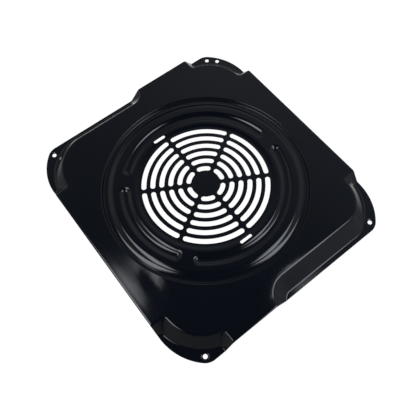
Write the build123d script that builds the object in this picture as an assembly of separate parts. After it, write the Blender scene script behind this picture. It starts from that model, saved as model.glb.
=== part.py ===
from build123d import *
import os
from math import asin, atan2, cos, degrees, radians, sin, sqrt, tan

# Oven fan cover: one pressed sheet of enamelled steel. All sizes are in millimetres.
# The origin is under the middle of the grille, on the plane that the flanges rest on.
# X runs along the longer side and Z points out of the front face.

# Sheet and plan outline
sheet_t = 0.8
plate_x = 308.0
plate_y = 278.0
corner_long_r = 64.0
corner_short_r = 16.5
corner_turn = 46.4

# Press: how far the raised field stands over the flanges, and how its edges are rounded
press_depth = 12.5
shoulder_r = 4.0
foot_r = 3.0

# Corner lobes sunk to flange height: a round wall about a centre, between two end walls
lobe_in_x = 60.5
lobe_in_y = 62.0
lobe_top_r = 45.5
lobe_wall_run = 12.0
end_wall_back_x = 2.0
end_wall_on_y = 8.0
end_wall_run = 10.0
crease_r = 4.0

# Side strips that run on from two of the lobes: a wide one on the right, a narrow one on the left
wide_strip_inset = 6.5
wide_strip_more_run = 3.5
wide_strip_end = 28.5
wide_strip_end_r = 24.0
narrow_strip_inset = 0.5
narrow_strip_end = 14.0
narrow_strip_end_r = 16.0
strip_end_run = 11.5
strip_foot_share = 0.45
strip_blend_r = 30.0

# Round press in the middle: a ring channel, a flat land and a shallow dish with the grille
channel_out_r = 117.3
channel_out_run = 6.1
channel_in_run = 9.4
channel_depth = 3.5
land_drop = 1.0
dish_run = 7.5
dish_drop = 1.0

# Stiffening grooves in the land, each from one angle to another, and the land left beside them
groove_outer_land = 4.6
groove_inner_land = 1.2
groove_width = 15.0
groove_depth = 2.2
groove_floor = 1.6
groove_spans = [(98.5, 221.0), (239.0, 302.0), (318.0, 440.0)]

# Grille: sectors of round-ended arc slots with straight spokes between them, out to the dish's edge
slot_sectors = 6
slot_first_r = 19.2
slot_pitch = 10.0
slot_width = 5.4
slot_edge = 1.5
spoke_width = 4.4

# Two short straight slots beside the grille
side_slot_inset = 2.0
side_slot_y = -7.4
side_slot_length = 15.0
side_slot_width = 3.2

# Countersunk screw holes, in from the sheet's edges: four in the corners, and a fifth by one of them
screw_in_x = 8.4
screw_in_y = 25.2
screw_d = 4.8
sink_d = 8.6
sink_depth = 0.4
extra_hole_in_x = 17.5
extra_hole_in_y = 15.5

# Working room outside and below the part, cut away at the end
margin = 14.0
base_depth = 4.0

# Heights and half sizes that follow from the sizes above
flange_z = sheet_t
raised_z = flange_z + press_depth
land_z = raised_z - land_drop
dish_z = land_z - dish_drop
half_x = plate_x / 2
half_y = plate_y / 2
far_x = half_x + margin
far_y = half_y + margin

# Lobes, strips and holes keep their distance from the sheet's edges and from each other
lobe_x = half_x - lobe_in_x
lobe_y = half_y - lobe_in_y
end_wall_x = lobe_x - end_wall_back_x
end_wall_y = lobe_y + end_wall_on_y
wide_strip_x = lobe_x + lobe_top_r - wide_strip_inset
wide_strip_run = lobe_wall_run + wide_strip_more_run
narrow_strip_x = lobe_x + lobe_top_r - narrow_strip_inset
screw_x = half_x - screw_in_x
screw_y = half_y - screw_in_y
extra_hole_x = extra_hole_in_x - half_x
extra_hole_y = half_y - extra_hole_in_y

# The round press follows from its outer edge inwards, and the grille fills the dish
channel_low_r = channel_out_r - channel_out_run
channel_in_r = channel_low_r - channel_in_run
groove_mid_r = channel_in_r - groove_outer_land - groove_width / 2
dish_out_r = groove_mid_r - groove_width / 2 - groove_inner_land
dish_in_r = dish_out_r - dish_run
slot_last_r = dish_in_r - slot_edge - slot_width / 2
slot_rings = int((slot_last_r - slot_first_r) / slot_pitch) + 1
side_slot_x = dish_out_r - side_slot_inset


def box_face(x0, y0, x1, y1):
    """Rectangle between two opposite corners."""
    return Pos((x0 + x1) / 2, (y0 + y1) / 2) * Rectangle(x1 - x0, y1 - y0)


def outline_face():
    """Plan outline: a rectangle whose corners are a long arc that runs into a short one."""
    turn = 90 - corner_turn
    short_x = half_x - corner_short_r
    long_x = short_x - (corner_long_r - corner_short_r) * cos(radians(turn))
    long_y = half_y - corner_long_r
    short_y = long_y + (corner_long_r - corner_short_r) * sin(radians(turn))
    quarter = Curve() + [
        Line((half_x, 0), (half_x, short_y)),
        CenterArc((short_x, short_y), corner_short_r, 0, turn),
        CenterArc((long_x, long_y), corner_long_r, turn, corner_turn),
        Line((long_x, half_y), (0, half_y)),
    ]
    half = quarter + mirror(quarter, Plane.YZ)
    return make_face(half + mirror(half, Plane.XZ))


def across(centre, other_centre, radius, other):
    """Where a circle about a centre stands over a line: the far crossing on the other axis."""
    return other_centre + sqrt(radius**2 - (other - centre)**2)


def rounded(face, corners):
    """The face with its corner nearest to each (x, y, radius) rounded."""
    for x, y, radius in corners:
        face = fillet(face.vertices().sort_by_distance((x, y, 0))[0], radius)
    return face


def lobe_face(level, grow):
    """Closed corner lobe at the top of its walls (level 0) or at their foot (level 1)."""
    x0 = end_wall_x + level * end_wall_run - grow
    y0 = end_wall_y + level * end_wall_run - grow
    wall_r = lobe_top_r + level * lobe_wall_run - grow
    low = box_face(x0, y0, far_x, far_y) - Pos(lobe_x, lobe_y) * Circle(wall_r)
    return rounded(low, [
        (x0, across(lobe_x, lobe_y, wall_r, x0), crease_r),
        (across(lobe_y, lobe_x, wall_r, y0), y0, crease_r),
    ])


def strip_face(level, grow, strip_x, run, end, end_r):
    """Corner lobe with the strip that runs on from it down the side, ending below the middle."""
    x0 = end_wall_x + level * end_wall_run - grow
    side = strip_x + level * run - grow
    low_end = level * strip_end_run - end - grow
    wall_r = lobe_top_r + level * lobe_wall_run - grow
    low = box_face(x0, lobe_y, far_x, far_y) - Pos(lobe_x, lobe_y) * Circle(wall_r)
    low += box_face(side, low_end, far_x, half_y)
    return rounded(low, [
        (x0, across(lobe_x, lobe_y, wall_r, x0), crease_r),
        (side, across(lobe_x, lobe_y, wall_r, side), strip_blend_r),
        (side, low_end, end_r * (1 - level * (1 - strip_foot_share))),
    ])


def sunk_room(foot_face, top_face, foot_z, top_z):
    """Room over a sunk region, whose walls lean out from the foot to the top."""
    foot = Pos(0, 0, foot_z) * foot_face
    top = Pos(0, 0, top_z) * top_face
    return loft([foot.face(), top.face()], ruled=True)


def sunk_rooms(depth):
    """The four sunk regions: two closed lobes across from each other and two lobes with a strip."""
    # Moving a leaning wall square to itself moves its edges by less than the sheet thickness
    grow = depth * tan(atan2(press_depth, lobe_wall_run) / 2)
    levels = (flange_z - depth, raised_z - depth)
    wide = (wide_strip_x, wide_strip_run, wide_strip_end, wide_strip_end_r)
    narrow = (narrow_strip_x, lobe_wall_run, narrow_strip_end, narrow_strip_end_r)
    lobe = mirror(sunk_room(lobe_face(1, grow), lobe_face(0, grow), *levels), Plane.XZ)
    right = sunk_room(strip_face(1, grow, *wide), strip_face(0, grow, *wide), *levels)
    left = sunk_room(strip_face(1, grow, *narrow), strip_face(0, grow, *narrow), *levels)
    half_turn = Rot(0, 0, 180)
    return [lobe, half_turn * lobe, right, half_turn * left]


def s_curve(r0, z0, r1, z1, depth):
    """Two equal arcs, level at both ends, moved down by depth square to the surface."""
    run = abs(r1 - r0)
    rise = abs(z1 - z0)
    arc_r = (run**2 + rise**2) / (4 * rise)
    slope = degrees(2 * atan2(rise, run))
    (low_r, low_z), (high_r, high_z) = sorted([(r0, z0), (r1, z1)], key=lambda point: point[1])
    slope = slope if high_r > low_r else -slope
    return [
        CenterArc((low_r, low_z + arc_r), arc_r + depth, -90, slope),
        CenterArc((high_r, high_z - arc_r), arc_r - depth, 90, slope),
    ]


def press_room(depth):
    """Room over the round press: channel, land and dish."""
    top = raised_z + shoulder_r
    low_z = raised_z - channel_depth
    section = Curve() + [
        Line((0, top), (0, dish_z - depth)),
        Line((0, dish_z - depth), (dish_in_r, dish_z - depth)),
        *s_curve(dish_in_r, dish_z, dish_out_r, land_z, depth),
        Line((dish_out_r, land_z - depth), (channel_in_r, land_z - depth)),
        *s_curve(channel_in_r, land_z, channel_low_r, low_z, depth),
        *s_curve(channel_low_r, low_z, channel_out_r, raised_z, depth),
        Line((channel_out_r, raised_z - depth), (channel_out_r, top)),
        Line((channel_out_r, top), (0, top)),
    ]
    return revolve(Plane.XZ * make_face(section), Axis.Z)


def groove_room(span, depth):
    """Room in one groove: its section turned about the middle, with a round end at each side."""
    top = raised_z + shoulder_r
    floor_z = land_z - groove_depth
    section = Curve() + [
        Line((0, top), (0, floor_z - depth)),
        Line((0, floor_z - depth), (groove_floor / 2, floor_z - depth)),
        *s_curve(groove_floor / 2, floor_z, groove_width / 2, land_z, depth),
        Line((groove_width / 2, land_z - depth), (groove_width / 2, top)),
        Line((groove_width / 2, top), (0, top)),
    ]
    half = make_face(section)
    whole = Pos(groove_mid_r, 0) * (half + mirror(half, Plane.YZ))
    end = Pos(groove_mid_r, 0, 0) * revolve(Plane.XZ * half, Axis.Z, 180)
    start = Pos(groove_mid_r, 0, 0) * revolve(Plane.XZ * half, Axis.Z, -180)
    run = revolve(Plane.XZ * whole, Axis.Z, span[1] - span[0])
    return Rot(0, 0, span[0]) * (run + start) + Rot(0, 0, span[1]) * end


def edges_at(block, z):
    """Edges of the block that lie at one height, without those of its outer sides."""
    level = block.edges().filter_by_position(Axis.Z, z - 0.01, z + 0.01)
    return [e for e in level if abs(e.center().X) < far_x - 1 and abs(e.center().Y) < far_y - 1]


def pressed_block(depth):
    """Block up to the front face of the press, or up to a face that lies depth under it."""
    block = Pos(0, 0, -base_depth) * Box(
        2 * far_x, 2 * far_y, raised_z - depth + base_depth, align=(Align.CENTER, Align.CENTER, Align.MIN)
    )
    for room in sunk_rooms(depth):
        block -= room
    block = fillet(edges_at(block, raised_z - depth), shoulder_r - depth)
    block = fillet(edges_at(block, flange_z - depth), foot_r + depth)
    block -= press_room(depth)
    for span in groove_spans:
        block -= groove_room(span, depth)
    return block


def grille_slots():
    """Plan of all the arc slots: one sector of them, repeated round the middle."""
    sector = Sketch()
    for ring in range(slot_rings):
        radius = slot_first_r + ring * slot_pitch
        # A slot's round end is tangent to the spoke
        lead = degrees(asin((spoke_width + slot_width) / 2 / radius))
        arc = CenterArc((0, 0), radius, lead, 360 / slot_sectors - 2 * lead)
        sector += SlotArc(arc, slot_width)
    return Sketch() + PolarLocations(0, slot_sectors) * sector


def side_slots():
    """Plan of the two short straight slots."""
    slot = Pos(side_slot_x, side_slot_y) * SlotOverall(side_slot_length, side_slot_width, rotation=90)
    return slot + mirror(slot, Plane.YZ)


def screw_holes():
    """The countersunk holes through the flanges."""
    bore = Cylinder(screw_d / 2, 4 * sheet_t)
    sink = Cone(screw_d / 2, sink_d / 2, sink_depth, align=(Align.CENTER, Align.CENTER, Align.MAX))
    hole = bore + Pos(0, 0, flange_z) * sink
    corners = GridLocations(2 * screw_x, 2 * screw_y, 2, 2)
    return [place * hole for place in corners] + [Pos(extra_hole_x, extra_hole_y) * hole]


def fan_cover():
    """The cover: the sheet between its two faces, trimmed to the outline and pierced."""
    sheet = pressed_block(0) - pressed_block(sheet_t)
    cover = sheet & extrude(outline_face(), raised_z)
    for plan in [grille_slots(), side_slots()]:
        cover -= extrude(plan, raised_z)
    for hole in screw_holes():
        cover -= hole
    return cover


os.makedirs("parts", exist_ok=True)
export_step(fan_cover(), "parts/fan_cover.step")
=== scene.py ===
"""Oven fan cover: one pressed sheet of enamelled steel, dressed for a studio photograph."""

import logging
import math
from dataclasses import dataclass, field
from enum import Enum

import bpy
import numpy as np
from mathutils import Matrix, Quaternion, Vector
from mathutils.geometry import delaunay_2d_cdt


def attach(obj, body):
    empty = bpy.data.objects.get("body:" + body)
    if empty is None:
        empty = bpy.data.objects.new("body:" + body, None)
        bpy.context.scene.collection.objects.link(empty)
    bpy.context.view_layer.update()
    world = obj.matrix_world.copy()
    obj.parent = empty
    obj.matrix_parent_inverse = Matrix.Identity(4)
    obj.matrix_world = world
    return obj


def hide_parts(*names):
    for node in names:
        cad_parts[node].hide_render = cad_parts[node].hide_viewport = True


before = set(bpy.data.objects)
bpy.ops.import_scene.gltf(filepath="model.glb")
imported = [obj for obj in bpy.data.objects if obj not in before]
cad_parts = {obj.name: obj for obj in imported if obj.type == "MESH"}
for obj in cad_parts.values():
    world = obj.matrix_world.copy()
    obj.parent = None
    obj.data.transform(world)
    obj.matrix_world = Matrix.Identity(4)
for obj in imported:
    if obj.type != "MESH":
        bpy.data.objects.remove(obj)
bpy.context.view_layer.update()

log = logging.getLogger("fan_cover")
PHOTO_SIDE_PX = 420
# Metres in a millimetre.
MM = 0.001
# Height of an even triangle with sides of 1.
TRIANGLE_HEIGHT = 0.866
Array = np.ndarray


def linear(hex_colour: str) -> tuple[float, float, float, float]:
    """Turns an sRGB colour into the linear one that Blender's sockets take.

    Args:
        hex_colour: six hex digits, such as "10141e".

    Returns:
        Red, green, blue and an alpha of 1, each from 0 to 1.
    """
    # The sRGB curve starts straight and goes on as a power.
    channels = [int(hex_colour[i:i + 2], 16) / 255 for i in (0, 2, 4)]
    light = [c / 12.92 if c <= 0.04045 else ((c + 0.055) / 1.055) ** 2.4 for c in channels]
    return (*light, 1.0)


def add_node(tree: bpy.types.NodeTree, kind: str, settings: dict | None = None,
             links: dict | None = None, **sockets: object) -> bpy.types.Node:
    """Adds one node with its settings and links.

    Args:
        tree: the node tree that takes the node.
        kind: the node's type name in Blender.
        settings: the node's own properties, by name.
        links: sockets of other nodes, by the name or number of the input that each one feeds.
        **sockets: fixed input values, by the input's name with _ for a space.

    Returns:
        The new node.
    """
    node = tree.nodes.new(kind)
    for name, value in (settings or {}).items():
        setattr(node, name, value)
    for name, value in sockets.items():
        node.inputs[name.replace("_", " ")].default_value = value
    for name, source in (links or {}).items():
        tree.links.new(source, node.inputs[name])
    return node


@dataclass(frozen=True)
class Strip:
    """A side strip that runs on from a sunk corner. Lengths are in millimetres.

    Its wall stands back from where the lobe reaches by inset, and runs out by more_run more than the
    lobe's wall. It goes on past its side's middle by end, to a heel with the radius end_round.
    """

    inset: float
    more_run: float
    end: float
    end_round: float


@dataclass(frozen=True)
class Corner:
    """One sunk corner of the press: which corner it is, and the strip that runs on from it."""

    turn_x: int
    turn_y: int
    strip: Strip | None = None


@dataclass(frozen=True)
class PressForm:
    """The form of the pressed sheet, as the CAD node has it. Lengths are in millimetres."""

    sheet: float = 0.8
    half_x: float = 154.0
    half_y: float = 139.0
    corner_long_r: float = 64.0
    corner_short_r: float = 16.5
    corner_turn: float = 46.4
    press_depth: float = 12.5
    shoulder_r: float = 4.0
    foot_r: float = 3.0
    lobe_x: float = 93.5
    lobe_y: float = 77.0
    lobe_r: float = 45.5
    lobe_run: float = 12.0
    end_wall_x: float = 91.5
    end_wall_y: float = 85.0
    end_wall_run: float = 10.0
    # Top and foot come nearer to each other in the creases. No wall is taken to run less than this.
    least_run: float = 8.0
    crease_r: float = 4.0
    strip_end_run: float = 11.5
    strip_foot_share: float = 0.45
    strip_blend_r: float = 30.0
    corners: tuple[Corner, ...] = (
        Corner(1, 1, Strip(inset=6.5, more_run=3.5, end=28.5, end_round=24.0)),
        Corner(-1, -1, Strip(inset=0.5, more_run=0.0, end=14.0, end_round=16.0)),
        Corner(1, -1),
        Corner(-1, 1),
    )
    dish_in_r: float = 73.5
    dish_out_r: float = 81.0
    channel_in_r: float = 101.8
    channel_low_r: float = 111.2
    channel_out_r: float = 117.3
    # The CAD node has one wide curve here. The photograph shows a steeper flank with tighter roundings.
    flank_in_r: float = 113.0
    flank_out_r: float = 117.0
    flank_r: float = 1.5
    dish_drop: float = 1.0
    land_drop: float = 1.0
    channel_depth: float = 3.5
    groove_mid_r: float = 89.7
    groove_width: float = 15.0
    groove_floor: float = 1.6
    groove_depth: float = 2.2
    groove_spans: tuple[tuple[float, float], ...] = ((98.5, 221.0), (239.0, 302.0), (318.0, 440.0))

    @property
    def raised(self) -> float:
        """Height of the raised field's front."""
        return self.sheet + self.press_depth

    @property
    def land(self) -> float:
        """Height of the land between the dish and the channel."""
        return self.raised - self.land_drop

    def lobe_arc(self, level: float, grow: float) -> float:
        """Radius of a lobe's round wall at its top (level 0) or foot (level 1)."""
        return self.lobe_r + level * self.lobe_run - grow

    def crease(self, wall: float, arc: float, middle: tuple[float, float]) -> tuple[float, float]:
        """Finds the middle of the rounding between an end wall and the round wall.

        Args:
            wall: the end wall's place on the first axis.
            arc: the round wall's radius.
            middle: the lobe's middle, first axis first.

        Returns:
            The middle of the rounding, first axis first.
        """
        along = wall + self.crease_r
        reach = arc + self.crease_r
        return along, middle[1] + math.sqrt(reach ** 2 - (along - middle[0]) ** 2)

    def blend(self, side: float, arc: float) -> tuple[float, float]:
        """Finds the middle of the rounding between the round wall and a strip's wall.

        Args:
            side: the place of the strip's wall along the longer side.
            arc: the round wall's radius.

        Returns:
            The middle of the rounding.
        """
        along = side - self.strip_blend_r
        reach = arc - self.strip_blend_r
        return along, self.lobe_y + math.sqrt(reach ** 2 - (along - self.lobe_x) ** 2)

    def end_gap(self, u: Array, v: Array, wall: float, arc: float, middle: tuple[float, float]) -> Array:
        """How far points lie past a lobe's round wall and one of its end walls.

        Args:
            u: places square to the end wall.
            v: places along it.
            wall: the end wall's place.
            arc: the round wall's radius.
            middle: the lobe's middle.

        Returns:
            Distances, positive inside the sunk corner.
        """
        past_arc = np.hypot(u - middle[0], v - middle[1]) - arc
        gap = np.minimum(past_arc, u - wall)
        cu, cv = self.crease(wall, arc, middle)
        side = (cu - middle[0]) * (v - cv) - (cv - middle[1]) * (u - cu)
        inside = (v < cv) & (side > 0)
        return np.where(inside, self.crease_r - np.hypot(u - cu, v - cv), gap)

    def strip_sizes(self, strip: Strip, level: float, grow: float) -> tuple[float, float, float]:
        """Finds a strip's edge.

        Args:
            strip: the strip.
            level: 0 for the edge at the top of the walls, 1 for the one at their foot.
            grow: how far the edge is moved out of the strip.

        Returns:
            The place of its wall, the place of its end, and the radius of the rounding between them.
        """
        side = self.lobe_x + self.lobe_r - strip.inset + level * (self.lobe_run + strip.more_run) - grow
        end = level * self.strip_end_run - strip.end - grow
        return side, end, strip.end_round * (1 - level * (1 - self.strip_foot_share))

    def gap(self, corner: Corner, x: Array, y: Array, level: float, grow: float) -> Array:
        """How far points lie inside a sunk corner's edge.

        Args:
            corner: the sunk corner.
            x: places along the longer side.
            y: places along the shorter side.
            level: 0 for the edge at the top of the walls, 1 for the one at their foot.
            grow: how far the edge is moved out of the sunk corner.

        Returns:
            Distances, positive inside the sunk corner.
        """
        u, v = x * corner.turn_x, y * corner.turn_y
        arc = self.lobe_arc(level, grow)
        wall_x = self.end_wall_x + level * self.end_wall_run - grow
        lobe = self.end_gap(u, v, wall_x, arc, (self.lobe_x, self.lobe_y))
        if corner.strip is None:
            wall_y = self.end_wall_y + level * self.end_wall_run - grow
            return np.minimum(lobe, self.end_gap(v, u, wall_y, arc, (self.lobe_y, self.lobe_x)))
        side, end, end_r = self.strip_sizes(corner.strip, level, grow)
        rounding = end_r - np.hypot(u - side - end_r, v - end - end_r)
        near_end = (u < side + end_r) & (v < end + end_r)
        strip = np.where(near_end, rounding, np.minimum(u - side, v - end))
        cu, cv = self.blend(side, arc)
        turn = (cu - self.lobe_x) * (v - cv) - (cv - self.lobe_y) * (u - cu)
        bend = np.hypot(u - cu, v - cv) - self.strip_blend_r
        return np.where(v < cv, strip, np.where(turn > 0, lobe, bend))

    def walls(self, x: Array, y: Array, depth: float) -> Array:
        """Height of the raised field, the leaning walls and the flanges.

        Args:
            x: places along the longer side.
            y: places along the shorter side.
            depth: how far below the front face, square to it.

        Returns:
            Heights over the plane that the flanges rest on.
        """
        top, low = self.raised - depth, self.sheet - depth
        shoulder, foot = self.shoulder_r - depth, self.foot_r + depth
        grow = depth * math.tan(math.atan2(self.press_depth, self.lobe_run) / 2)
        height = np.full(x.shape, top)
        for corner in self.corners:
            past_top = self.gap(corner, x, y, 0, grow)
            past_foot = self.gap(corner, x, y, 1, grow)
            run = np.clip(past_top - past_foot, self.least_run, None)
            lean = np.arctan2(self.press_depth, run)
            half = np.tan(lean / 2)
            on_top = np.clip((past_top + shoulder * half) / shoulder, 0, 1)
            on_foot = np.clip((foot * half - past_foot) / foot, 0, 1)
            wall = top - np.tan(lean) * past_top
            round_top = top - shoulder * (1 - np.sqrt(1 - on_top ** 2))
            round_foot = low + foot * (1 - np.sqrt(1 - on_foot ** 2))
            room = np.where(past_top < shoulder * half * np.cos(lean), round_top, wall)
            room = np.where(past_foot > -foot * half * np.cos(lean), round_foot, room)
            height = np.minimum(height, np.where(past_top < -shoulder * half, top, room))
        return height

    @staticmethod
    def widest_r(run: float, rise: float) -> float:
        """Radius of two equal arcs that meet halfway along a flank, with nothing straight between."""
        return (run ** 2 + rise ** 2) / (4 * abs(rise))

    @staticmethod
    def flank_lean(run: float, rise: float, radius: float) -> float:
        """Angle from level, in radians, of the straight part between a flank's two roundings."""
        drop = abs(rise) - 2 * radius
        return math.atan2(drop, run) + math.asin(min(1.0, 2 * radius / math.hypot(run, drop)))

    def s_curve(self, place: Array, start: float, from_z: float, end: float, to_z: float, depth: float,
                radius: float | None = None) -> Array:
        """Height along a flank that is level at both ends, depth below it.

        Args:
            place: distances along the section.
            start: where the first rounding begins.
            from_z: its height there.
            end: where the second rounding ends.
            to_z: its height there.
            depth: how far below the front face, square to it.
            radius: the front's radius in both roundings, or None for the widest that fits.

        Returns:
            Heights, held level past both ends.
        """
        run, rise = end - start, to_z - from_z
        radius = radius or self.widest_r(run, rise)
        sign = 1 if rise > 0 else -1
        first, last = radius + sign * depth, radius - sign * depth
        lean = self.flank_lean(run, rise, radius)
        near = np.clip(place - start, 0, first * math.sin(lean))
        far = np.clip(end - place, 0, last * math.sin(lean))
        rising = from_z - depth + sign * (first - np.sqrt(first ** 2 - near ** 2))
        falling = to_z - depth - sign * (last - np.sqrt(last ** 2 - far ** 2))
        straight_on = rising + sign * math.tan(lean) * (place - start - near)
        return np.where(place - start < first * math.sin(lean), rising,
                        np.where(end - place > last * math.sin(lean), straight_on, falling))

    def round_press(self, x: Array, y: Array, depth: float) -> Array:
        """Height of the dish, the land and the channel.

        Args:
            x: places along the longer side.
            y: places along the shorter side.
            depth: how far below the front face, square to it.

        Returns:
            Heights, infinite outside the channel.
        """
        r = np.hypot(x, y)
        dish = self.land - self.dish_drop
        low = self.raised - self.channel_depth
        height = self.s_curve(r, self.dish_in_r, dish, self.dish_out_r, self.land, depth)
        inner = self.s_curve(r, self.channel_in_r, self.land, self.channel_low_r, low, depth)
        outer = self.s_curve(r, self.flank_in_r, low, self.flank_out_r, self.raised, depth, self.flank_r)
        height = np.where(r > self.channel_in_r, inner, height)
        height = np.where(r > self.channel_low_r, outer, height)
        return np.where(r > self.channel_out_r, np.inf, height)

    def groove(self, span: tuple[float, float], x: Array, y: Array, depth: float) -> Array:
        """Height in one groove.

        Args:
            span: the angles of the middles of its round ends, in degrees.
            x: places along the longer side.
            y: places along the shorter side.
            depth: how far below the front face, square to it.

        Returns:
            Heights, infinite beside the groove.
        """
        start, end = (math.radians(a) for a in span)
        turn = np.mod(np.arctan2(y, x) - start, 2 * math.pi)
        mid_r = self.groove_mid_r
        caps = [np.hypot(x - mid_r * math.cos(a), y - mid_r * math.sin(a)) for a in (start, end)]
        beside = np.where(turn > end - start, np.minimum(*caps), np.abs(np.hypot(x, y) - mid_r))
        floor = self.land - self.groove_depth
        wall = self.s_curve(beside, self.groove_floor / 2, floor, self.groove_width / 2, self.land, depth)
        return np.where(beside > self.groove_width / 2, np.inf, wall)

    def height(self, x: Array, y: Array, depth: float = 0.0) -> Array:
        """Height of the front face, or of the face that lies depth under it.

        Args:
            x: places along the longer side.
            y: places along the shorter side.
            depth: 0 for the front, the sheet's thickness for the back.

        Returns:
            Heights over the plane that the flanges rest on.
        """
        height = np.minimum(self.walls(x, y, depth), self.round_press(x, y, depth))
        for span in self.groove_spans:
            height = np.minimum(height, self.groove(span, x, y, depth))
        return height


def straight(start: tuple[float, float], end: tuple[float, float], steps: int) -> Array:
    """Points along a straight line."""
    share = np.linspace(0, 1, steps + 1)[:, None]
    return np.array(start) * (1 - share) + np.array(end) * share


def bow(middle: Array, radius: float, start: float, turn: float, steps: int) -> Array:
    """Points along an arc that starts at one angle and turns on by another, in radians."""
    angles = start + np.linspace(0, 1, steps + 1) * turn
    return np.array(middle) + radius * np.stack([np.cos(angles), np.sin(angles)], 1)


def short_bow(middle: Array, radius: float, first: Array, last: Array, steps: int) -> Array:
    """Points along an arc, the shorter way from one direction to another.

    Args:
        middle: the arc's middle.
        radius: its radius.
        first: the direction of its first point.
        last: the direction of its last point.
        steps: how many steps it has.

    Returns:
        The points.
    """
    start = math.atan2(first[1], first[0])
    turn = (math.atan2(last[1], last[0]) - start + math.pi) % (2 * math.pi) - math.pi
    return bow(middle, radius, start, turn, steps)


def stadium(radius: float, half: float, start: float, end: float, step: float, cap_steps: int) -> Array:
    """Closed line round an arc at a fixed distance from it, with round ends.

    Args:
        radius: the arc's radius about the origin.
        half: the line's distance from the arc.
        start: the angle where the arc begins, in radians.
        end: the angle where it ends.
        step: the largest angle between two points along the sides.
        cap_steps: how many steps each round end has.

    Returns:
        The points, counterclockwise.
    """
    count = max(1, math.ceil((end - start) / step))
    outer = bow((0, 0), radius + half, start, end - start, count)
    inner = bow((0, 0), radius - half, end, start - end, count)
    far = bow(radius * np.array([math.cos(end), math.sin(end)]), half, end, math.pi, cap_steps)
    near = bow(radius * np.array([math.cos(start), math.sin(start)]), half, start + math.pi, math.pi,
               cap_steps)
    return np.concatenate([outer, far[1:-1], inner, near[1:-1]])


def inside_line(line: Array, x: Array, y: Array) -> Array:
    """Tells which points lie inside a closed line.

    Args:
        line: the line's points.
        x: the places on the first axis that are tested.
        y: the places on the second axis.

    Returns:
        True for each point inside.
    """
    inside = np.zeros(x.shape, bool)
    for (ax, ay), (bx, by) in zip(line, np.roll(line, -1, 0)):
        if ay != by:
            inside ^= ((ay > y) != (by > y)) & (x < (bx - ax) * (y - ay) / (by - ay) + ax)
    return inside


@dataclass(frozen=True)
class Piercing:
    """Slots and holes through the sheet. Lengths are in millimetres and angles in radians."""

    slot_rings: int = 6
    slot_sectors: int = 6
    slot_first_r: float = 19.2
    slot_pitch: float = 10.0
    slot_width: float = 5.4
    spoke_width: float = 4.4
    side_slot_x: float = 79.0
    side_slot_y: float = -7.4
    side_slot_length: float = 15.0
    side_slot_width: float = 3.2
    screw_x: float = 145.6
    screw_y: float = 113.8
    extra_hole: tuple[float, float] = (-136.5, 123.5)
    hole_r: float = 2.4
    sink_r: float = 4.2
    sink_floor_r: float = 3.3
    sink_depth: float = 0.28
    slot_step: float = 0.06
    cap_steps: int = 10
    hole_steps: int = 32
    sink_lines: int = 6

    @property
    def sector(self) -> float:
        """Angle of one sector of the grille, in radians."""
        return 2 * math.pi / self.slot_sectors

    def rings(self) -> list[tuple[float, float]]:
        """Middle radius of each ring of slots, and the angle from a sector's edge to its slots' ends."""
        radii = [self.slot_first_r + ring * self.slot_pitch for ring in range(self.slot_rings)]
        return [(r, math.asin((self.spoke_width + self.slot_width) / 2 / r)) for r in radii]

    def holes(self) -> list[tuple[float, float]]:
        """Middles of the screw holes."""
        corners = [(sx * self.screw_x, sy * self.screw_y) for sx in (-1, 1) for sy in (-1, 1)]
        return corners + [self.extra_hole]

    def lines(self, grow: float) -> list[Array]:
        """Outlines of all the openings.

        Args:
            grow: how far outside the openings the lines run.

        Returns:
            The closed lines.
        """
        lines = []
        half = self.slot_width / 2 + grow
        for radius, lead in self.rings():
            for turn in np.arange(self.slot_sectors) * self.sector:
                lines.append(stadium(radius, half, turn + lead, turn + self.sector - lead, self.slot_step,
                                     self.cap_steps))
        half = self.side_slot_width / 2
        reach = self.side_slot_length / 2 - half
        for side in (-1, 1):
            x = side * self.side_slot_x
            top = bow((x, self.side_slot_y + reach), half + grow, 0, math.pi, self.cap_steps)
            low = bow((x, self.side_slot_y - reach), half + grow, math.pi, math.pi, self.cap_steps)
            lines.append(np.concatenate([top, low]))
        return lines + [self.round_hole(hole, self.hole_r + grow) for hole in self.holes()]

    def round_hole(self, hole: tuple[float, float], radius: float) -> Array:
        """A closed line round a screw hole's middle."""
        return bow(hole, radius, 0, 2 * math.pi, self.hole_steps)[:-1]

    def sink_rings(self) -> list[Array]:
        """Closed lines round each screw hole's countersink, over its whole slope."""
        radii = np.linspace(self.sink_floor_r, self.sink_r, self.sink_lines)
        return [self.round_hole(hole, radius) for hole in self.holes() for radius in radii]

    def open_at(self, x: Array, y: Array, grow: float) -> Array:
        """Tells which points lie in an opening or close to one.

        Args:
            x: places along the longer side.
            y: places along the shorter side.
            grow: how near to an opening a point may lie and still count.

        Returns:
            True for each such point.
        """
        r = np.hypot(x, y)
        angle = np.mod(np.arctan2(y, x), self.sector)
        found = np.zeros(x.shape, bool)
        for radius, lead in self.rings():
            near = np.clip(angle, lead, self.sector - lead)
            away_x, away_y = (r * turn(angle) - radius * turn(near) for turn in (np.cos, np.sin))
            found |= np.hypot(away_x, away_y) < self.slot_width / 2 + grow
        half = self.side_slot_width / 2
        reach = self.side_slot_length / 2 - half
        along = y - self.side_slot_y
        past_end = along - np.clip(along, -reach, reach)
        for side in (-1, 1):
            found |= np.hypot(x - side * self.side_slot_x, past_end) < half + grow
        for hx, hy in self.holes():
            found |= np.hypot(x - hx, y - hy) < self.hole_r + grow
        return found

    def sunk(self, x: Array, y: Array, height: Array) -> Array:
        """Lowers the front where the screw holes are countersunk.

        Args:
            x: places along the longer side.
            y: places along the shorter side.
            height: the front's heights there.

        Returns:
            The lowered heights.
        """
        slope = self.sink_r - self.sink_floor_r
        for hx, hy in self.holes():
            out = np.clip((np.hypot(x - hx, y - hy) - self.sink_floor_r) / slope, 0, 1)
            height = height - self.sink_depth * (1 - out ** 2 * (3 - 2 * out))
        return height


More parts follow.
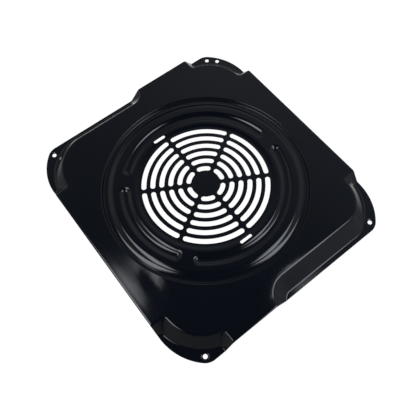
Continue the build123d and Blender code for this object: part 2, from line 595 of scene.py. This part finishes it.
@dataclass(frozen=True)
class Sag:
    """A place where the flat field gives way a little beside its edge. Lengths are in millimetres."""

    x: float
    y: float
    reach_x: float
    reach_y: float
    depth: float

    def at(self, x: Array, y: Array) -> Array:
        """How far the sheet lies low."""
        return self.depth * np.exp(-((x - self.x) / self.reach_x) ** 2 - ((y - self.y) / self.reach_y) ** 2)


class Face(Enum):
    """The sheet's faces. The value is the way that a face looks, up or down."""

    FRONT = 1
    BACK = -1


@dataclass
class ClosedMesh:
    """A mesh in arrays, gathered part by part. Lengths are in millimetres."""

    points: list[Array] = field(default_factory=list)
    ways: list[Array] = field(default_factory=list)
    edge: list[Array] = field(default_factory=list)
    triangles: list[Array] = field(default_factory=list)
    count: int = 0

    def add(self, points: Array, ways: Array, edge: float) -> Array:
        """Adds points.

        Args:
            points: their places.
            ways: the directions square to the surface there.
            edge: how far round a sheared edge they lie, from 0 to 1.

        Returns:
            The new points' numbers.
        """
        self.points.append(points)
        self.ways.append(ways / np.linalg.norm(ways, axis=1, keepdims=True))
        self.edge.append(np.full(len(points), edge))
        self.count += len(points)
        return np.arange(self.count - len(points), self.count)

    def to_blender(self, name: str) -> bpy.types.Mesh:
        """Makes Blender's mesh of it, in metres, with the exact directions and the attribute "edge".

        Args:
            name: the mesh's name.

        Returns:
            The mesh.
        """
        mesh = bpy.data.meshes.new(name)
        points, triangles = np.concatenate(self.points) * MM, np.concatenate(self.triangles)
        mesh.from_pydata(points.tolist(), [], triangles.tolist())
        mesh.shade_smooth()
        mesh.attributes.new("edge", "FLOAT", "POINT").data.foreach_set("value", np.concatenate(self.edge))
        mesh.normals_split_custom_set_from_vertices(np.concatenate(self.ways))
        return mesh


@dataclass
class SheetMesh:
    """Lays a mesh over the press form, with its points along the form's own bends.

    Points and links are gathered in plan first. The flat plan is then cut into triangles, pierced,
    lifted to both faces of the sheet and closed by rounded edges. Lengths are in millimetres.
    """

    form: PressForm
    piercing: Piercing
    ring_steps: int = 240
    groove_cap_steps: int = 16
    bend_step: float = math.radians(8)
    end_wall_steps: int = 16
    crease_steps: int = 8
    lobe_steps: int = 60
    strip_lobe_steps: int = 48
    blend_steps: int = 16
    strip_steps: int = 40
    heel_steps: int = 28
    strip_end_steps: int = 10
    past_sheet: float = 4.0
    # Along a quarter's shorter side, tight bend, wide bend and longer side, before points are left out.
    outline_steps: tuple[int, int, int, int] = (900, 200, 400, 500)
    flat_pitch: float = 7.0
    flat_clearance: float = 2.5
    # Points that are nearer than this become one.
    meet_within: float = 1e-5
    slope_step: float = 0.03
    # The sheared edges are rounded by the enamel that melts over them.
    edge_r: float = 0.38
    edge_steps: int = 3
    # Pressing leaves the field's free edges hanging a little, with shallow sags beside them.
    droop: float = 0.45
    droop_reach: float = 2.0
    droop_lines: tuple[float, ...] = (0.35, 0.6, 0.85, 1.1)
    sags: tuple[Sag, ...] = (
        Sag(47.0, -136.2, 34.8, 7.5, 0.38), Sag(52.5, -110.2, 19.0, 8.4, 0.6),
        Sag(37.6, -121.6, 33.4, 12.0, 0.5), Sag(141.0, 14.0, 7.4, 36.0, 0.78),
        Sag(139.0, -3.0, 6.0, 16.0, 0.4), Sag(149.0, -22.0, 8.0, 7.0, 0.6),
    )
    points: list[Array] = field(default_factory=list)
    links: list[Array] = field(default_factory=list)
    count: int = 0

    def add_line(self, line: Array, closed: bool = True) -> None:
        """Adds a line that the mesh has to follow.

        Args:
            line: the line's points.
            closed: whether its last point is joined to its first.
        """
        numbers = np.arange(len(line)) + self.count
        links = np.stack([numbers, np.roll(numbers, -1)], 1)
        self.points.append(line)
        self.links.append(links if closed else links[:-1])
        self.count += len(line)

    def bend_places(self, start: float, end: float, rise: float, radius: float | None = None) -> list[float]:
        """Places along the section of a flank, at even steps of slope.

        Args:
            start: where the first rounding begins.
            end: where the second rounding ends.
            rise: how far the flank rises between them.
            radius: the radius in both roundings, or None for the widest that fits.

        Returns:
            The places, in order.
        """
        radius = radius or self.form.widest_r(end - start, rise)
        lean = self.form.flank_lean(end - start, rise, radius)
        steps = max(2, math.ceil(lean / self.bend_step))
        runs = [radius * math.sin(lean * step / steps) for step in range(steps + 1)]
        places = [start + run for run in runs] + [end - run for run in reversed(runs)]
        return sorted({round(place, 4) for place in places})

    def add_round_press(self) -> None:
        """Adds lines round the dish, the channel and the grooves."""
        form = self.form
        places = self.bend_places(form.dish_in_r, form.dish_out_r, form.dish_drop)
        places += self.bend_places(form.channel_in_r, form.channel_low_r, form.channel_depth - form.land_drop)
        places += self.bend_places(form.flank_in_r, form.flank_out_r, form.channel_depth, form.flank_r)
        for radius in places:
            self.add_line(bow((0, 0), radius, 0, 2 * math.pi, self.ring_steps)[:-1])
        places = self.bend_places(form.groove_floor / 2, form.groove_width / 2, form.groove_depth)
        for start, end in np.radians(form.groove_spans):
            for half in places:
                self.add_line(stadium(form.groove_mid_r, half, start, end, 2 * math.pi / self.ring_steps,
                                      self.groove_cap_steps))

    def corner_edge(self, corner: Corner, level: float) -> Array:
        """Points along a sunk corner's edge, from past one side of the sheet to past the other.

        Args:
            corner: the sunk corner.
            level: 0 for the edge at the top of the walls, 1 for the one at their foot.

        Returns:
            The points, as many at either level.
        """
        form = self.form
        arc = form.lobe_arc(level, 0)
        middle = np.array([form.lobe_x, form.lobe_y])
        past_x, past_y = form.half_x + self.past_sheet, form.half_y + self.past_sheet
        x0 = form.end_wall_x + level * form.end_wall_run
        first = np.array(form.crease(x0, arc, (form.lobe_x, form.lobe_y)))
        parts = [straight((x0, past_y), (x0, first[1]), self.end_wall_steps),
                 short_bow(first, form.crease_r, (-1, 0), middle - first, self.crease_steps)]
        if corner.strip is None:
            y0 = form.end_wall_y + level * form.end_wall_run
            last = np.array(form.crease(y0, arc, (form.lobe_y, form.lobe_x))[::-1])
            parts += [short_bow(middle, arc, first - middle, last - middle, self.lobe_steps),
                      short_bow(last, form.crease_r, middle - last, (0, -1), self.crease_steps),
                      straight((last[0], y0), (past_x, y0), self.end_wall_steps)]
        else:
            side, end, end_r = form.strip_sizes(corner.strip, level, 0)
            bend = np.array(form.blend(side, arc))
            heel = np.array([side + end_r, end + end_r])
            parts += [short_bow(middle, arc, first - middle, bend - middle, self.strip_lobe_steps),
                      short_bow(bend, form.strip_blend_r, bend - middle, (1, 0), self.blend_steps),
                      straight((side, bend[1]), (side, heel[1]), self.strip_steps),
                      short_bow(heel, end_r, (-1, 0), (0, -1), self.heel_steps),
                      straight((heel[0], end), (past_x + end_r, end), self.strip_end_steps)]
        line = np.concatenate([parts[0]] + [part[1:] for part in parts[1:]])
        return line * np.array([corner.turn_x, corner.turn_y])

    def wall_at(self, corner: Corner, edge: Array, level: int) -> tuple[Array, Array]:
        """Finds how a wall leans beside one of its edges.

        Args:
            corner: the sunk corner.
            edge: points on the edge.
            level: 0 for the edge at the wall's top, 1 for the one at its foot.

        Returns:
            The wall's angles from level, in radians, and the directions onto it, square to the edge.
        """
        form, step = self.form, self.slope_step
        x, y = edge.T
        run = np.clip(np.abs(form.gap(corner, x, y, 1 - level, 0)), form.least_run, None)
        along = form.gap(corner, x + step, y, level, 0) - form.gap(corner, x - step, y, level, 0)
        across = form.gap(corner, x, y + step, level, 0) - form.gap(corner, x, y - step, level, 0)
        way = np.stack([along, across], 1) * (1 - 2 * level)
        return np.arctan2(form.press_depth, run)[:, None], way / np.linalg.norm(way, axis=1, keepdims=True)

    def add_corners(self) -> None:
        """Adds lines along the shoulder and the foot of each sunk corner's walls."""
        form = self.form
        for corner in form.corners:
            edges = [self.corner_edge(corner, level) for level in (0, 1)]
            for level, radius in enumerate((form.shoulder_r, form.foot_r)):
                lean, way = self.wall_at(corner, edges[level], level)
                steps = math.ceil(lean.max() / self.bend_step)
                for step in range(steps + 1):
                    out = radius * (np.sin(lean * step / steps) - np.tan(lean / 2))
                    self.add_line(edges[level] + way * out, closed=False)
            self.add_line((edges[0] + edges[1]) / 2, closed=False)

    def outline(self, inset: float) -> Array:
        """The sheet's plan outline, with its points close where it bends or where the sheet steps.

        Args:
            inset: how far inside the outline the line runs.

        Returns:
            The points of the closed line, counterclockwise.
        """
        form = self.form
        turn = math.radians(90 - form.corner_turn)
        short_x = form.half_x - form.corner_short_r
        gap = form.corner_long_r - form.corner_short_r
        long_x, long_y = short_x - gap * math.cos(turn), form.half_y - form.corner_long_r
        short_y = long_y + gap * math.sin(turn)
        x, y = form.half_x - inset, form.half_y - inset
        short_steps, tight_steps, wide_steps, long_steps = self.outline_steps
        quarter = np.concatenate([
            straight((x, 0), (x, short_y), short_steps)[:-1],
            bow((short_x, short_y), form.corner_short_r - inset, 0, turn, tight_steps)[:-1],
            bow((long_x, long_y), form.corner_long_r - inset, turn, math.pi / 2 - turn, wide_steps)[:-1],
            straight((long_x, y), (0, y), long_steps)[:-1],
        ])
        half = np.concatenate([quarter, [[0, y]], (quarter * np.array([-1, 1]))[:0:-1]])
        whole = np.concatenate([half, [[-x, 0]], (half * np.array([1, -1]))[:0:-1]])
        return self.thinned(whole)

    def thinned(self, line: Array, slack: float = 0.01, longest: float = 3.0) -> Array:
        """Leaves out those points of a fine closed line that its form can spare.

        Args:
            line: the line's points.
            slack: how far off the thinned line a point may lie that is left out.
            longest: the longest step of the thinned line.

        Returns:
            The points that are kept.
        """
        solid = np.column_stack([line, self.form.height(line[:, 0], line[:, 1])])
        kept = [0]
        for number in range(2, len(line)):
            span = solid[number] - solid[kept[-1]]
            size = np.linalg.norm(span)
            between = solid[kept[-1] + 1:number] - solid[kept[-1]]
            off = np.linalg.norm(np.cross(between, span), axis=1).max() / size if len(between) else 0
            if off > slack or size > longest:
                kept.append(number - 1)
        return line[kept]

    def add_flats(self) -> None:
        """Spreads points over what is flat."""
        form = self.form
        rows = np.arange(-form.half_y, form.half_y, self.flat_pitch * TRIANGLE_HEIGHT)
        cols = np.arange(-form.half_x, form.half_x, self.flat_pitch)
        x, y = np.meshgrid(cols, rows)
        x = x + (np.arange(len(rows)) % 2)[:, None] * self.flat_pitch / 2
        x, y = x.ravel(), y.ravel()
        clear = self.flat_clearance
        free = (np.hypot(x, y) > form.channel_out_r + clear) & inside_line(self.outline(clear), x, y)
        for corner in form.corners:
            free &= (form.gap(corner, x, y, 0, 0) < -clear) | (form.gap(corner, x, y, 1, 0) > clear)
        free &= ~self.piercing.open_at(x, y, clear)
        self.points.append(np.stack([x[free], y[free]], 1))
        self.count += int(free.sum())

    def plan(self) -> tuple[Array, Array]:
        """Cuts the pierced plan into triangles.

        Returns:
            The points in plan and the triangles, counterclockwise.
        """
        self.add_round_press()
        self.add_corners()
        outline = self.outline(self.edge_r)
        self.add_line(outline)
        for line in self.piercing.lines(self.edge_r) + self.piercing.sink_rings():
            self.add_line(line)
        for share in self.droop_lines:
            self.add_line(self.outline(share * self.droop_reach))
        self.add_flats()
        places = [Vector(place) for place in np.concatenate(self.points)]
        links = np.concatenate(self.links).tolist()
        # The 0 asks for triangles over the whole hull.
        cut = delaunay_2d_cdt(places, links, [], 0, self.meet_within, False)
        points, faces = np.array([tuple(place) for place in cut[0]]), np.array(cut[2])
        x, y = points[faces].mean(1).T
        metal = inside_line(outline, x, y) & ~self.piercing.open_at(x, y, self.edge_r)
        faces = faces[metal]
        used, faces = np.unique(faces, return_inverse=True)
        return points[used], faces.reshape(-1, 3)

    def surface(self, x: Array, y: Array, face: Face) -> Array:
        """Height of the front face or of the back face.

        Args:
            x: places along the longer side.
            y: places along the shorter side.
            face: the face.

        Returns:
            Heights over the plane that the flanges rest on.
        """
        form = self.form
        from_edge = np.minimum(form.half_x - np.abs(x), form.half_y - np.abs(y))
        low = self.droop * np.clip(1 - from_edge / self.droop_reach, 0, 1) ** 2
        low = low + sum(sag.at(x, y) for sag in self.sags)
        low = low * np.clip((form.height(x, y) - form.sheet) / form.press_depth, 0, 1)
        if face is Face.BACK:
            return form.height(x, y, form.sheet) - low
        return self.piercing.sunk(x, y, form.height(x, y)) - low

    def normals(self, x: Array, y: Array, face: Face) -> Array:
        """Directions square to one face, out of the metal.

        Args:
            x: places along the longer side.
            y: places along the shorter side.
            face: the face.

        Returns:
            Directions of length 1.
        """
        step = self.slope_step
        along = (self.surface(x + step, y, face) - self.surface(x - step, y, face)) / (2 * step)
        across = (self.surface(x, y + step, face) - self.surface(x, y - step, face)) / (2 * step)
        ways = np.stack([-along, -across, np.ones(len(x))], 1) * face.value
        return ways / np.linalg.norm(ways, axis=1, keepdims=True)

    @staticmethod
    def border(faces: Array) -> Array:
        """Finds the links of the plan that only one triangle has.

        Args:
            faces: the triangles.

        Returns:
            The links, each a pair of points' numbers, with the metal to their left.
        """
        links = np.concatenate([faces[:, [0, 1]], faces[:, [1, 2]], faces[:, [2, 0]]])
        _, places, counts = np.unique(np.sort(links, 1), axis=0, return_index=True, return_counts=True)
        return links[places[counts == 1]]

    def build(self) -> ClosedMesh:
        """Builds the closed mesh: both faces, and the sheared edges rounded over between them.

        Returns:
            The mesh.
        """
        plan, faces = self.plan()
        x, y = plan.T
        links = self.border(faces)
        rim, on_rim = np.unique(links, return_inverse=True)
        first, last = on_rim.reshape(-1, 2).T
        span = plan[links[:, 1]] - plan[links[:, 0]]
        outwards = np.stack([span[:, 1], -span[:, 0]], 1) / np.hypot(*span.T)[:, None]
        away = np.zeros((len(rim), 2))
        for end in (first, last):
            np.add.at(away, end, outwards)
        away = np.pad(away / np.hypot(*away.T)[:, None], ((0, 0), (0, 1)))
        laid = ClosedMesh()
        places = {face: np.column_stack([plan, self.surface(x, y, face)]) for face in Face}
        ways = {face: self.normals(x, y, face) for face in Face}
        numbers = {face: laid.add(places[face], ways[face], 0.0) for face in Face}
        laid.triangles += [faces, faces[:, ::-1] + len(plan)]
        levels = []
        for face in Face:
            chain = [numbers[face][rim]]
            for turn in np.linspace(0, math.pi / 2, self.edge_steps + 1)[1:]:
                place = places[face][rim] + away * self.edge_r * math.sin(turn)
                place[:, 2] -= face.value * self.edge_r * (1 - math.cos(turn))
                way = ways[face][rim] * math.cos(turn) + away * math.sin(turn)
                chain.append(laid.add(place, way, turn / (math.pi / 2)))
            levels += chain[::face.value]
        for upper, lower in zip(levels, levels[1:]):
            laid.triangles += [np.stack([upper[last], upper[first], lower[first]], 1),
                               np.stack([upper[last], lower[first], lower[last]], 1)]
        return laid


@dataclass(frozen=True)
class Relief:
    """Unevenness of a surface that is too fine for the mesh. Lengths are in millimetres."""

    length: float
    height: float
    detail: float = 0.0


@dataclass(frozen=True)
class VitreousEnamel:
    """Blue-black vitreous enamel, fired on pressed steel. Lengths are in millimetres.

    To the eye it is a deep, nearly black blue under a glassy skin. The skin's slow waves bend the
    lamps' reflections a little, its orange peel softens them, and cloudy patches make them duller.
    """

    colour: str = "0b0f17"
    cloud_colour: str = "0e141c"
    # The glass draws back from a sheared edge as it melts, and the brown ground coat shows through.
    edge_colour: str = "2b2622"
    # Real bubbles and specks are 0.1 mm wide. These are drawn three times coarser, to show in a close view.
    speck_colour: str = "3d4248"
    speck_pitch: float = 7.0
    speck_r: float = 0.15
    speck_core: float = 0.6
    roughness: float = 0.085
    cloud_roughness: float = 0.115
    cloud_length: float = 70.0
    cloud_detail: float = 2.0
    # The noise that makes the clouds keeps mostly between these values.
    cloud_values: tuple[float, float] = (0.35, 0.65)
    ior: float = 1.52
    # Sheet steel springs back in slow waves. The glass over it dries and melts to a fine orange peel.
    reliefs: tuple[Relief, ...] = (Relief(38.0, 0.1, 1.0), Relief(2.2, 0.005))

    def make(self) -> bpy.types.Material:
        """Builds the enamel.

        Returns:
            The material.
        """
        material = bpy.data.materials.new("vitreous_enamel_blue_black")
        material.use_nodes = True
        tree = material.node_tree
        shader = tree.nodes["Principled BSDF"]
        shader.inputs["IOR"].default_value = self.ior
        place = add_node(tree, "ShaderNodeTexCoord").outputs["Object"]
        clouds = add_node(tree, "ShaderNodeTexNoise", links={"Vector": place},
                          Scale=1 / (self.cloud_length * MM), Detail=self.cloud_detail)
        clear, cloudy = self.cloud_values
        dull = add_node(tree, "ShaderNodeMapRange", links={"Value": clouds.outputs[0]}, From_Min=clear,
                        From_Max=cloudy, To_Min=self.roughness, To_Max=self.cloud_roughness)
        tree.links.new(dull.outputs["Result"], shader.inputs["Roughness"])
        tint = add_node(tree, "ShaderNodeMix", {"data_type": "RGBA"}, {"Factor": clouds.outputs[0]},
                        A=linear(self.colour), B=linear(self.cloud_colour))
        cells = add_node(tree, "ShaderNodeTexVoronoi", links={"Vector": place},
                         Scale=1 / (self.speck_pitch * MM))
        reach = self.speck_r / self.speck_pitch
        speck = add_node(tree, "ShaderNodeMapRange", links={"Value": cells.outputs["Distance"]},
                         From_Min=reach, From_Max=reach * self.speck_core)
        edge = add_node(tree, "ShaderNodeAttribute", {"attribute_name": "edge"})
        layers = ((self.speck_colour, speck.outputs["Result"]), (self.edge_colour, edge.outputs["Fac"]))
        for colour, share in layers:
            tint = add_node(tree, "ShaderNodeMix", {"data_type": "RGBA"},
                            {"Factor": share, "A": tint.outputs["Result"]}, B=linear(colour))
        tree.links.new(tint.outputs["Result"], shader.inputs["Base Color"])
        self.add_reliefs(tree, place)
        return material

    def add_reliefs(self, tree: bpy.types.NodeTree, place: bpy.types.NodeSocket) -> None:
        """Roughens the shader's surface by each relief in turn.

        Args:
            tree: the material's tree.
            place: the places on the object, in metres.
        """
        below = None
        for relief in self.reliefs:
            waves = add_node(tree, "ShaderNodeTexNoise", links={"Vector": place},
                             Scale=1 / (relief.length * MM), Detail=relief.detail)
            links = {"Height": waves.outputs[0]} | ({"Normal": below} if below else {})
            bump = add_node(tree, "ShaderNodeBump", links=links, Distance=relief.height * MM)
            below = bump.outputs["Normal"]
        tree.links.new(below, tree.nodes["Principled BSDF"].inputs["Normal"])


@dataclass(frozen=True)
class OpalTable:
    """Opal acrylic table top, lit from below. Lengths are in millimetres.

    To the eye it is plain white, a little brighter where a tube lies under it. Its top is frosted
    and reflects next to nothing, so that no lamp shows in it. A prism film under the acrylic sends
    the light upwards, so that the table is dim when seen at a low angle, as the cover's walls see it.
    """

    colour: str = "f7f7f7"
    tube_colour: str = "fbfbfb"
    tube_pitch: float = 160.0
    reflecting: str = "303132"
    roughness: float = 0.85
    frost: Relief = Relief(0.5, 0.02)
    # Just over 1, so that the table comes out as pure white.
    glow: float = 1.08
    low_glow: float = 0.2
    low_angle_cosines: tuple[float, float] = (0.55, 0.2)

    def make(self) -> bpy.types.Material:
        """Builds the table top.

        Returns:
            The material.
        """
        material = bpy.data.materials.new("opal_acrylic_lit_from_below")
        material.use_nodes = True
        tree = material.node_tree
        shader = tree.nodes["Principled BSDF"]
        shader.inputs["Base Color"].default_value = linear(self.reflecting)
        shader.inputs["Roughness"].default_value = self.roughness
        place = add_node(tree, "ShaderNodeTexCoord").outputs["Object"]
        # Blender's sine bands are 2 pi / 20 apart at a scale of 1.
        tubes = add_node(tree, "ShaderNodeTexWave", links={"Vector": place},
                         Scale=math.pi / 10 / (self.tube_pitch * MM))
        light = add_node(tree, "ShaderNodeMix", {"data_type": "RGBA"}, {"Factor": tubes.outputs["Fac"]},
                         A=linear(self.colour), B=linear(self.tube_colour))
        seen = add_node(tree, "ShaderNodeLayerWeight")
        high, low = self.low_angle_cosines
        strength = add_node(tree, "ShaderNodeMapRange", links={"Value": seen.outputs["Facing"]},
                            From_Min=1 - high, From_Max=1 - low, To_Min=self.glow, To_Max=self.low_glow)
        tree.links.new(strength.outputs["Result"], shader.inputs["Emission Strength"])
        frost = add_node(tree, "ShaderNodeTexNoise", links={"Vector": place},
                         Scale=1 / (self.frost.length * MM))
        bump = add_node(tree, "ShaderNodeBump", links={"Height": frost.outputs[0]},
                        Distance=self.frost.height * MM)
        tree.links.new(light.outputs["Result"], shader.inputs["Emission Color"])
        tree.links.new(bump.outputs["Normal"], shader.inputs["Normal"])
        return material


@dataclass
class Cover:
    """The pressed cover itself."""

    node: str = "fan_cover"
    form: PressForm = field(default_factory=PressForm)
    piercing: Piercing = field(default_factory=Piercing)
    enamel: VitreousEnamel = field(default_factory=VitreousEnamel)

    def build(self) -> bpy.types.Object:
        """Builds the cover in a fine mesh, in place of the plain one.

        Returns:
            The object that shows.
        """
        mesh = SheetMesh(self.form, self.piercing).build().to_blender(self.node + "_sheet")
        mesh.materials.append(self.enamel.make())
        cover = bpy.data.objects.new(mesh.name, mesh)
        bpy.context.scene.collection.objects.link(cover)
        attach(cover, "root")
        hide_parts(self.node)
        return cover


@dataclass(frozen=True)
class SoftBox:
    """A soft box that hangs level over one side of the table. Lengths are in metres.

    Its cloth grows dimmer towards the rim. It is built of thin layers of light, each a little
    smaller than the one above, which add up.
    """

    name: str
    ahead: float
    aside: float
    size: tuple[float, float]
    turn_deg: float
    colour: str
    height: float = 0.5
    radiance: float = 4.4
    rim: float = 0.04
    layers: int = 4

    def hang(self, towards_camera: float) -> list[bpy.types.Object]:
        """Hangs the soft box.

        Args:
            towards_camera: the camera's direction in plan, in radians.

        Returns:
            Its layers of light.
        """
        turn = Quaternion((0, 0, 1), towards_camera)
        lamps = []
        for layer in range(self.layers):
            inset = self.rim * layer / (self.layers - 1)
            data = bpy.data.lights.new(f"{self.name}_{layer}", "AREA")
            data.shape = "RECTANGLE"
            data.size, data.size_y = (side - 2 * inset for side in self.size)
            data.energy = self.radiance / self.layers * math.pi * data.size * data.size_y
            data.color = linear(self.colour)[:3]
            lamp = bpy.data.objects.new(data.name, data)
            bpy.context.scene.collection.objects.link(lamp)
            lamp.location = turn @ Vector((self.ahead, self.aside, self.height - MM * layer))
            lamp.rotation_mode = "QUATERNION"
            lamp.rotation_quaternion = turn @ Quaternion((0, 0, 1), math.radians(self.turn_deg))
            lamps.append(lamp)
        return lamps


class Way(Enum):
    """Directions seen from the camera. The value is the turn from the camera's own, in plan."""

    TO_CAMERA = 0.0
    TO_RIGHT = math.pi / 2
    UPWARDS = None

    def vector(self, towards_camera: float) -> tuple[float, float, float]:
        """The direction in the scene.

        Args:
            towards_camera: the camera's direction in plan, in radians.

        Returns:
            The direction, of length 1.
        """
        if self is Way.UPWARDS:
            return 0.0, 0.0, 1.0
        turn = towards_camera + self.value
        return math.cos(turn), math.sin(turn), 0.0


@dataclass(frozen=True)
class Fade:
    """How the room's light changes along a direction, and how that joins the fades before it.

    The steps are places from -1 (straight away from the direction) to 1 (straight along it), each
    with a strength. The light is white at the first step and has the given colour at the last.
    """

    way: Way
    blend: str
    steps: tuple[tuple[float, float], ...]
    colour: str = "ffffff"

    def stops(self) -> list[tuple[float, tuple[float, float, float, float]]]:
        """The stops of a colour ramp for the fade.

        Returns:
            Each stop's position from 0 to 1, and its colour.
        """
        last = linear(self.colour)
        shares = [number / (len(self.steps) - 1) for number in range(len(self.steps))]
        return [((place + 1) / 2, tuple(strength * (1 - share + share * c) for c in last))
                for share, (place, strength) in zip(shares, self.steps)]


@dataclass(frozen=True)
class Room:
    """The dim room round the table: dark overhead, behind the camera and on its left."""

    colour: str = "fdfefc"
    fades: tuple[Fade, ...] = (
        Fade(Way.TO_CAMERA, "MIX", ((-0.3, 1.0), (0.3, 0.15))),
        Fade(Way.TO_RIGHT, "LIGHTEN", ((-0.64, 0.6), (-0.4, 0.0), (0.5, 0.0), (0.76, 1.0))),
        Fade(Way.TO_RIGHT, "MULTIPLY", ((-0.7, 0.9), (-0.5, 0.7), (-0.26, 0.42), (0.04, 1.0)), "ecf0fb"),
        Fade(Way.UPWARDS, "MULTIPLY", ((0.0, 0.4), (0.5, 0.38), (0.77, 0.31), (0.87, 0.18), (0.93, 0.075),
                                       (0.975, 0.03))),
        Fade(Way.UPWARDS, "LIGHTEN", ((0.0, 0.24), (0.15, 0.16), (0.4, 0.03), (0.5, 0.0))),
    )

    def make(self, towards_camera: float) -> bpy.types.World:
        """Builds the room's light.

        Args:
            towards_camera: the camera's direction in plan, in radians.

        Returns:
            The world.
        """
        world = bpy.data.worlds.new("room")
        world.use_nodes = True
        tree = world.node_tree
        look = add_node(tree, "ShaderNodeTexCoord").outputs["Generated"]
        light = None
        for fade in self.fades:
            along = add_node(tree, "ShaderNodeVectorMath", {"operation": "DOT_PRODUCT"}, {0: look})
            along.inputs[1].default_value = fade.way.vector(towards_camera)
            place = add_node(tree, "ShaderNodeMapRange", links={"Value": along.outputs["Value"]},
                             From_Min=-1.0)
            ramp = add_node(tree, "ShaderNodeValToRGB", links={"Fac": place.outputs["Result"]})
            stops = ramp.color_ramp.elements
            # A new stop may start anywhere, because all of them are placed below.
            while len(stops) < len(fade.steps):
                stops.new(0.5)
            for stop, (position, colour) in zip(stops, fade.stops()):
                stop.position = position
                stop.color = colour
            links = {"B": ramp.outputs["Color"]} | ({"A": light} if light else {})
            joined = add_node(tree, "ShaderNodeMix", {"data_type": "RGBA", "blend_type": fade.blend},
                              links, Factor=1.0)
            light = joined.outputs["Result"]
        tinted = add_node(tree, "ShaderNodeMix", {"data_type": "RGBA", "blend_type": "MULTIPLY"},
                          {"A": light}, Factor=1.0, B=linear(self.colour))
        tree.links.new(tinted.outputs["Result"], tree.nodes["Background"].inputs["Color"])
        bpy.context.scene.world = world
        return world


@dataclass
class Studio:
    """Lit table, two soft boxes, the room's dim light and the camera. Lengths are in metres."""

    table_side: float = 8.0
    table: OpalTable = field(default_factory=OpalTable)
    # The camera was solved from the photograph's edges, holes and slots.
    camera_place: tuple[float, float, float] = (0.20253, -0.13659, 0.47661)
    camera_aim: tuple[float, float, float] = (0.03401, -0.01089, 0.0109)
    camera_roll_deg: float = -1.715
    focal_px: float = 470.0
    shift_px: tuple[float, float] = (7.1, 0.6)
    sensor_mm: float = 36.0
    nearest: float = 0.01
    lamps: tuple[SoftBox, ...] = (
        SoftBox("soft_box_left", 0.149, -0.314, (0.47, 0.25), -12.0, "f6f9ff"),
        SoftBox("soft_box_right", 0.15, 0.358, (0.42, 0.28), 16.0, "eff4ff"),
    )
    room: Room = field(default_factory=Room)

    @property
    def towards_camera(self) -> float:
        """The camera's direction in plan, in radians."""
        return math.atan2(self.camera_place[1], self.camera_place[0])

    def lay_table(self) -> bpy.types.Object:
        """Lays the lit table under the cover.

        Returns:
            The table top.
        """
        bpy.ops.mesh.primitive_plane_add(size=self.table_side)
        table = bpy.context.object
        table.name = "light_table"
        table.data.materials.append(self.table.make())
        return table

    def set_camera(self) -> bpy.types.Object:
        """Sets the camera where the photograph was taken from.

        Returns:
            The camera.
        """
        data = bpy.data.cameras.new("camera")
        camera = bpy.data.objects.new("camera", data)
        bpy.context.scene.collection.objects.link(camera)
        data.sensor_width = self.sensor_mm
        data.lens = self.focal_px / PHOTO_SIDE_PX * self.sensor_mm
        data.shift_x = -self.shift_px[0] / PHOTO_SIDE_PX
        data.shift_y = self.shift_px[1] / PHOTO_SIDE_PX
        data.clip_start = self.nearest
        place = Vector(self.camera_place)
        back = place - Vector(self.camera_aim)
        turn = back.to_track_quat("Z", "Y")
        roll = Quaternion((0, 0, 1), math.radians(self.camera_roll_deg))
        camera.location = place
        camera.rotation_mode = "QUATERNION"
        camera.rotation_quaternion = turn @ roll
        bpy.context.scene.camera = camera
        return camera

    def build(self) -> None:
        """Sets the whole studio up."""
        log.info("%s: laid", self.lay_table().name)
        log.info("%s: set", self.set_camera().name)
        for lamp in self.lamps:
            log.info("%s: %d layers of light", lamp.name, len(lamp.hang(self.towards_camera)))
        log.info("%s: lit", self.room.make(self.towards_camera).name)
        bpy.context.scene.view_settings.view_transform = "Standard"


def main() -> None:
    """Builds everything in order."""
    logging.basicConfig(level=logging.INFO, format="%(message)s")
    cover = Cover().build()
    log.info("%s: %d triangles", cover.name, len(cover.data.polygons))
    Studio().build()


if __name__ == "__main__":
    main()
